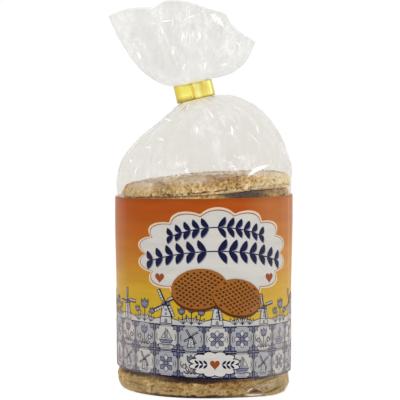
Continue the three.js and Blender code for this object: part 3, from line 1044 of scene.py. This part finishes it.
def drawMill(along, foot, size, layer, spin):
    at = placedAt(along, foot, size)
    drawOutlined("paper", layer, at([(-3.3, 0), (3.3, 0), (1.9, 8.6), (-1.9, 8.6)]), 0.34)
    drawOutlined("slate", layer, at([(x, z + 8.6) for x, z in ovalPoints(2.3, 2.1, 12, 0, math.pi)]), 0.3)
    draw("slate", layer + 1, at([(-0.8, 0.2), (0.8, 0.2), (0.8, 1.9), (0, 2.5), (-0.8, 1.9)]))
    draw("navy", layer + 2, at(strokePoints([(-3.4, 3.3), (3.4, 3.3)], 0.36)))
    for height in (4.6, 6.5):
        draw("slate", layer + 1, at([(x, z + height) for x, z in boxPoints(0.6, 0.6)]))
    for blade in range(4):
        turn = spin + blade * math.pi / 2

        def sail(points):
            return moved(moved(points, 0, 0, 1, turn), along, foot + 9.6 * size, size)

        draw("navy", layer + 3, sail(strokePoints([(0.2, 0), (7.4, 0)], 0.4)))
        drawOutlined("paper", layer + 2, sail([(1.7, 0.2), (7.2, 0.2), (7.2, 1.7), (1.7, 1.7)]), 0.26)
        for step in range(1, 4):
            draw("navy", layer + 4, sail(strokePoints([(1.7 + step * 1.38, 0.3), (1.7 + step * 1.38, 1.6)], 0.24)))
    draw("navy", layer + 5, moved(ovalPoints(0.6, 0.6, 10), along, foot + 9.6 * size, size))


tulipHead = [(0, 0), (1.5, 0.6), (2.1, 2.1), (2.0, 4.4), (1.0, 3.1), (0, 4.7), (-1.0, 3.1), (-2.0, 4.4),
             (-2.1, 2.1), (-1.5, 0.6)]


def drawTulip(along, foot, size, layer, turn=0.0, head="slate"):
    at = placedAt(along, foot, size, turn)
    draw("navy", layer, at(strokePoints([(0, 0), (0, 5.6)], 0.42)))
    for way in (-1, 1):
        drawOutlined("paper", layer + 1, at(leafPoints((0, 0.3), (way * 2.5, 4.8), 1.3, way * -0.5)), 0.26)
    drawOutlined(head, layer + 1, at([(x, z + 5.4) for x, z in tulipHead]), 0.32)
    draw("navy", layer + 3, at(strokePoints([(-0.8, 7.0), (-0.6, 6.2), (0, 5.9), (0.6, 6.2), (0.8, 7.0)], 0.24)))


def drawDaisy(along, middle, size, layer):
    for petal in range(8):
        turn = petal * math.pi / 4
        tip = (math.cos(turn) * 3.9 * size, math.sin(turn) * 3.9 * size)
        root = (math.cos(turn) * 1.0 * size, math.sin(turn) * 1.0 * size)
        drawOutlined("slate" if petal % 2 else "paper", layer,
                     moved(leafPoints(root, tip, 2.1 * size), along, middle), 0.26)
    drawOutlined("slate", layer + 1, moved(ovalPoints(1.05, 1.05, 14), along, middle, size), 0.3)


def drawBoat(along, middle, size, layer):
    at = placedAt(along, middle, size)
    drawOutlined("slate", layer, at([(-3.6, -1.2), (-2.4, -2.9), (2.4, -2.9), (3.6, -1.2)]), 0.3)
    draw("navy", layer + 1, at(strokePoints([(0, -1.2), (0, 3.9)], 0.34)))
    drawOutlined("paper", layer, at([(0.5, -0.7), (3.0, -0.7), (0.5, 3.6)]), 0.28)
    drawOutlined("paper", layer, at([(-0.5, -0.7), (-2.6, -0.7), (-0.5, 2.6)]), 0.28)
    draw("navy", layer + 1, at(strokePoints([(-4, -3.7), (-2, -3.3), (0, -3.8), (2, -3.3), (4, -3.7)], 0.3)))


def drawTile(along, middle, half, kind, tinted):
    draw("navy", 2, moved(boxPoints(half, half), along, middle), 0.36)
    if tinted:
        draw("mist", 1, moved(boxPoints(half - 0.7, half - 0.7), along, middle))
    draw("slate", 2, moved(boxPoints(half - 0.7, half - 0.7), along, middle), 0.24)
    for wayX in (-1, 1):
        for wayZ in (-1, 1):
            corner = [(0, 0), (3.1, 0), (1.9, 0.9), (2.1, 2.1), (0.9, 1.9), (0, 3.1)]
            points = [(wayX * (half - 0.35 - x), wayZ * (half - 0.35 - z)) for x, z in corner]
            drawOutlined("slate", 2, moved(points, along, middle), 0.26)
        draw("navy", 3, moved(strokePoints([(wayX * (half - 1.5), -1.6), (wayX * (half - 1.1), 0),
                                            (wayX * (half - 1.5), 1.6)], 0.24), along, middle))
    if kind == 0:
        drawTulip(along, middle - 4.6, 0.95, 2)
        for way in (-1, 1):
            drawTulip(along + way * 1.3, middle - 4.5, 0.55, 2, -0.45 * way, "paper")
    elif kind == 1:
        drawDaisy(along, middle, 1.08, 2)
    elif kind == 2:
        drawMill(along, middle - 4.3, 0.54, 2, 0.5)
    else:
        drawBoat(along, middle + 0.2, 1.05, 2)
    if kind in (2, 3):
        for step in range(4):
            reach = 3.4 - 0.55 * step
            draw("slate", 2, moved(strokePoints([(-reach, 0), (reach, 0)], 0.2), along, middle - 3.3 - 0.5 * step))


band = {"foot": 9.75, "tile": 12.11, "tileCount": 22, "rowCount": 2, "hedgeSteps": 176}


def drawBand():
    half = math.pi * label["radius"]
    wallTop = band["foot"] + band["tile"] * band["rowCount"]
    hedge = []
    for step in range(band["hedgeSteps"] + 1):
        along = lerp(half, -half, step / band["hedgeSteps"])
        hedge.append((along, wallTop + 2.1 + 1.1 * abs(math.sin(along / half * band["tileCount"] / 2 * math.pi))))
    draw("paper", 0, [(-half, band["foot"] - 0.2), (half, band["foot"] - 0.2)] + hedge)
    draw("navy", 1, strokePoints(hedge, 0.36))
    draw("navy", 1, strokePoints([(-half, label["foot"] + 0.25), (half, label["foot"] + 0.25)], 0.5))
    for column in range(band["tileCount"]):
        along = -half + (column + 0.5) * 2 * half / band["tileCount"]
        for row in range(band["rowCount"]):
            drawTile(along, band["foot"] + (row + 0.5) * band["tile"], band["tile"] / 2 - 0.08,
                     (column * 3 + row * 2 + column // 4) % 4, (column + row) % 2)
        if column % 2:
            size = 0.92 + 0.08 * math.sin(column * 2.3)
            drawMill(along, wallTop + 0.2, size, 3, 0.25 + 0.5 * math.sin(column * 1.7))
        else:
            for shift, size in ((-3.4, 0.8), (0.2, 1.05), (3.7, 0.75)):
                drawTulip(along + shift, wallTop + 0.3, size * (1 + 0.06 * math.sin(column + shift)), 3,
                          -0.05 * shift)


def drawGarland(middle, foot, halfWidth, arch, leaf, count):
    # a bowed stem with pairs of leaves that point outwards from its middle
    def at(share):
        return middle + share * halfWidth, foot + arch * (1 - share * share)

    draw("navy", 4, strokePoints([at(step / 12 - 1) for step in range(25)], 0.55))
    for index in range(count):
        share = lerp(-0.94, 0.94, index / (count - 1))
        root = Vector(at(share))
        outward = 1 if share >= 0 else -1
        for up in (-1, 1):
            lean = 0.95 if up > 0 else -0.95
            tip = root + Vector((outward * math.cos(lean), math.sin(lean))) * leaf * (1 - 0.25 * abs(share))
            petal = leafPoints(tuple(root), tuple(tip), leaf * 0.42, -up * outward * leaf * 0.1)
            draw("slate", 4, moved(petal, 0.35, -0.35))
            draw("navy", 5, petal)


def drawRoundWaffle(along, middle, halfWidth, halfHeight, turn, layer):
    at = placedAt(along, middle, 1, turn)
    oval = ovalPoints(halfWidth, halfHeight, 64)
    draw("waffleShade", layer, moved(oval, along, middle - 1.3, 1, turn))
    draw("waffleInk", layer + 1, at(oval))
    pitch = 2.15
    reach = int(halfWidth / pitch) + 2
    for i in range(-reach, reach + 1):
        for k in range(-reach, reach + 1):
            x, z = (i + k) * pitch / 1.42, (k - i) * pitch / 1.42
            if (x / (halfWidth - 1.3)) ** 2 + (z / (halfWidth - 1.3)) ** 2 < 1:
                cell = moved(boxPoints(pitch * 0.34, pitch * 0.34), x, z, 1, math.pi / 4)
                draw("waffleShade", layer + 2, at([(px, pz * halfHeight / halfWidth) for px, pz in cell]))
                edge = moved(strokePoints([cell[3], cell[2], cell[1]], 0.22), 0.12, 0.12)
                draw("waffleLight", layer + 2, at([(px, pz * halfHeight / halfWidth) for px, pz in edge]))


def drawCartouche(middle, height, halfWidth, halfHeight, lobes):
    for ink, layer, grow in (("cream", 0, 2.0), ("rust", 1, 0.9), ("panel", 2, 0.45)):
        points = scallopPoints(halfWidth + grow, halfHeight + grow, lobes, 0.13)
        draw(ink, layer, moved(points, middle, height))


def drawPrint():
    front, back = 6.2, 6.2 + math.pi * label["radius"]
    drawBand()
    drawCartouche(front, 66.2, 38.8, 20.4, 14)
    drawGarland(front, 74.8, 22, 4.5, 6.0, 11)
    drawGarland(front, 62.8, 33, 5.5, 7.0, 13)
    drawRoundWaffle(front - 8.4, 51.0, 13.2, 9.2, 0.12, 12)
    drawRoundWaffle(front + 9.9, 47.2, 12.2, 8.2, -0.2, 16)
    for along, size in ((front - 27.5, 2.4), (front + 27.5, 2.4)):
        draw("rust", 4, moved(heartPoints(size), along, 55.5))
    drawOutlined("panel", 12, moved(scallopPoints(12.4, 6.2, 12, 0.14), front - 1.2, 16.4), 0.42)
    draw("rust", 14, moved(heartPoints(2.3), front - 1.2, 16.3))
    for way in (-1, 1):
        for step in range(3):
            root = (front - 1.2 + way * (3.4 + step * 2.0), 16.2)
            for up in (-1, 1):
                draw("navy", 14, leafPoints(root, (root[0] + way * 2.0, root[1] + up * 1.9), 1.1))
    drawCartouche(back, 68, 27, 16, 12)
    drawGarland(back, 76.0, 15, 3.5, 4.6, 9)
    drawGarland(back, 58.5, 15, -3.5, 4.6, 9)
    draw("rust", 4, moved(heartPoints(4.2), back, 67.5))


def makeInkMaterial(ink, code):
    # the inks of the tiles are paler towards the sides, as a painted sheen
    material, tree = newMaterial(ink)
    paintedSideSheen = addRange(tree, addMath(tree, "ABSOLUTE", objectAxis(tree, "X")), 0.018, 0.042, high=0.32)
    paintedSideSheen = addMath(tree, "MULTIPLY", paintedSideSheen, addRange(tree, objectAxis(tree, "Z"), 0.046, 0.036, low=0.2))
    finish(tree, addLabelFinish(tree, addMix(tree, paintedSideSheen, code, "d6c8be")))
    return material


def printInk(ink):
    # one ink's shapes as one piece, cut into strips narrow enough to lie round the label
    bm = bmesh.new()
    for layer, points, line in drawing[ink]:
        figure = bmesh.new()
        face = figure.faces.new([figure.verts.new((x, layer, z)) for x, z in points])
        face.normal_update()
        if line:
            bmesh.ops.inset_region(figure, faces=[face], thickness=line, use_even_offset=True, use_boundary=True)
            bmesh.ops.delete(figure, geom=[face], context="FACES")
        else:
            bmesh.ops.triangulate(figure, faces=[face])
        for axis, pitch in ((0, label["cutAcross"]), (1, label["cutUp"])):
            low, high = min(point[axis] for point in points), max(point[axis] for point in points)
            for cut in range(math.ceil(low / pitch), math.ceil(high / pitch)):
                place = Vector((1 - axis, 0, axis)) * cut * pitch
                bmesh.ops.bisect_plane(figure, geom=figure.verts[:] + figure.edges[:] + figure.faces[:],
                                       dist=0.0001, plane_co=place, plane_no=(1 - axis, 0, axis))
        sheet = bpy.data.meshes.new("figure")
        figure.to_mesh(sheet)
        figure.free()
        bm.from_mesh(sheet)
        bpy.data.meshes.remove(sheet)
    for vertex in bm.verts:
        along, layer, height = vertex.co
        vertex.co = labelPoint(along, height, label["lift"] + layer * label["layer"])
    bm.normal_update()
    level = Vector((1, 1, 0))
    inward = [face for face in bm.faces if face.normal.dot(face.calc_center_median() * level) < 0]
    bmesh.ops.reverse_faces(bm, faces=inward)
    code, slotName = inks[ink]
    makePiece("print" + ink[0].upper() + ink[1:], bm, makeInkMaterial(ink, code))


# ---- the clip

clip = {
    "height": 7.7, "halfWidth": 9.3, "wall": 0.8, "lift": 0.25, "corner": 2.2, "edgeRound": 0.25,
    # the front's outline from above, as (across, out): a proud left lobe, a nick, and a waved right lobe
    "front": [(-8.4, 4.7), (-7.6, 5.2), (-6.4, 5.45), (-2.4, 5.45), (-1.2, 5.4), (-1.05, 5.2), (-0.95, 4.6),
              (-0.5, 4.5), (-0.1, 4.65), (0.6, 4.85), (1.6, 5.0), (2.6, 4.85), (4.0, 4.6), (5.2, 4.65), (6.3, 5.0),
              (7.2, 5.1), (7.9, 4.8)],
    "flare": 0.7,
    # the gold from its left end to its right one: its colour with painted highlights, and painted shade at its ends
    # and in the nick
    "gold": [(0.0, "c6ac38"), (0.1, "e8d04a"), (0.2, "fff678"), (0.4, "fdf072"), (0.44, "d6be4a"), (0.47, "d6be4a"),
             (0.51, "f6e870"), (0.6, "fffa9c"), (0.7, "e8d260"), (0.8, "ecd860"), (0.9, "fff594"), (0.95, "d8c858"),
             (1.0, "b4a03c")],
}


def clipOutline():
    # seen from above: the waved front, then a bow round each corner, from the front right to the front left
    corner = clip["corner"]
    reach = clip["halfWidth"] - corner
    outline = [(u, -v) for u, v in clip["front"]]
    for middle, start, sweep in (((reach, -2.6), -0.9, 0.9), ((reach, 3.0), 0.0, math.pi / 2),
                                 ((-reach, 3.0), math.pi / 2, math.pi / 2), ((-reach, -2.6), math.pi, 1.0)):
        for step in range(1, 6):
            turn = start + sweep * step / 5
            outline.append((middle[0] + corner * math.cos(turn), middle[1] + corner * math.sin(turn)))
    return outline[:-1]


def makeClipMaterial():
    material, tree = newMaterial("goldClip")
    fine = addNoise(tree, objectPlace(tree, (1, 1, 0.3)), 700, 3)
    bump = addBump(tree, 0.12, 0.0006, fine)
    along, up = storedValue(tree, "along"), storedValue(tree, "up")
    shadedGold = addRamp(tree, along, clip["gold"])
    shadedGold = addShade(tree, shadedGold, addMath(tree, "MULTIPLY_ADD", fine, 0.2, 0.98))
    # its top and bottom edges are darker, most under the left lobe: painted shade
    edge = addRange(tree, along, 0.5, 0.42, 0.13, 0.34)
    low = addMath(tree, "DIVIDE", addMath(tree, "SUBTRACT", edge, up), edge)
    high = addRange(tree, up, 0.88, 1.0, high=0.6)
    shadedGold = addMix(tree, addMath(tree, "MAXIMUM", addRange(tree, low, 0, 1), high), shadedGold, "9a7e12")
    shader = addNode(tree, "BsdfPrincipled", {"Base Color": shadedGold, "Metallic": 0.24, "Roughness": 0.28,
                                              "Normal": bump, "Coat Weight": 0.3, "Coat Roughness": 0.1})
    finish(tree, shader.outputs[0])
    return material


def sortByPlace(parts, placeOf):
    for number, part in enumerate(sorted(parts, key=placeOf)):
        part.index = number
    parts.sort()


def makeClip():
    outline = clipOutline()
    bm = bmesh.new()
    ring = [bm.verts.new((u, v, 0)) for u, v in outline]
    edges = [bm.edges.new((a, b)) for a, b in zip(ring, ring[1:] + ring[:1])]
    raised = bmesh.ops.extrude_edge_only(bm, edges=edges)["geom"]
    raised = [part for part in raised if isinstance(part, bmesh.types.BMVert)]
    bmesh.ops.translate(bm, vec=(0, 0, clip["height"]), verts=raised)
    bm.normal_update()
    if sum(face.normal.dot(face.calc_center_median()) for face in bm.faces) < 0:
        bmesh.ops.reverse_faces(bm, faces=bm.faces)
    bmesh.ops.solidify(bm, geom=bm.faces[:], thickness=clip["wall"])
    bmesh.ops.recalc_face_normals(bm, faces=bm.faces)
    bm.normal_update()
    rims = [edge for edge in bm.edges if edge.is_manifold and edge.calc_face_angle(0) > 1.2
            and abs(edge.verts[0].co.z - edge.verts[1].co.z) < 0.01]
    bmesh.ops.bevel(bm, geom=rims, offset=clip["edgeRound"], segments=2, profile=0.5, affect="EDGES", material=-1)
    stores = [bm.verts.layers.float.new(layer) for layer in ("along", "up")]
    for vertex in bm.verts:
        vertex[stores[0]] = 0.5 + vertex.co.x / clip["halfWidth"] / 2
        vertex[stores[1]] = vertex.co.z / clip["height"]
        if vertex.co.z > clip["height"] / 2:
            vertex.co.z += clip["flare"] * smooth(-vertex.co.x, 0.6, clip["halfWidth"])
    slope = bag["neckSlope"]
    centre = bag["neckCentre"] + slope * bag["neckHeight"] / 2
    tilt = Matrix.Rotation(-math.atan(slope), 4, "Y")
    place = Matrix.Translation((centre, 0, bag["neckFoot"] + clip["lift"])) @ tilt
    bmesh.ops.transform(bm, matrix=place, verts=bm.verts)
    # the bevel leaves these in another order each time
    sortByPlace(bm.verts, lambda vertex: tuple(vertex.co))
    sortByPlace(bm.faces, lambda face: tuple(face.calc_center_median()))
    makePiece("clipBand", bm, makeClipMaterial(), replaced=("clip",))


makeStudio()
makeFolds(makeFilm())
makeWaffles()
makeLabel()
drawPrint()
for ink in inks:
    printInk(ink)
makeClip()
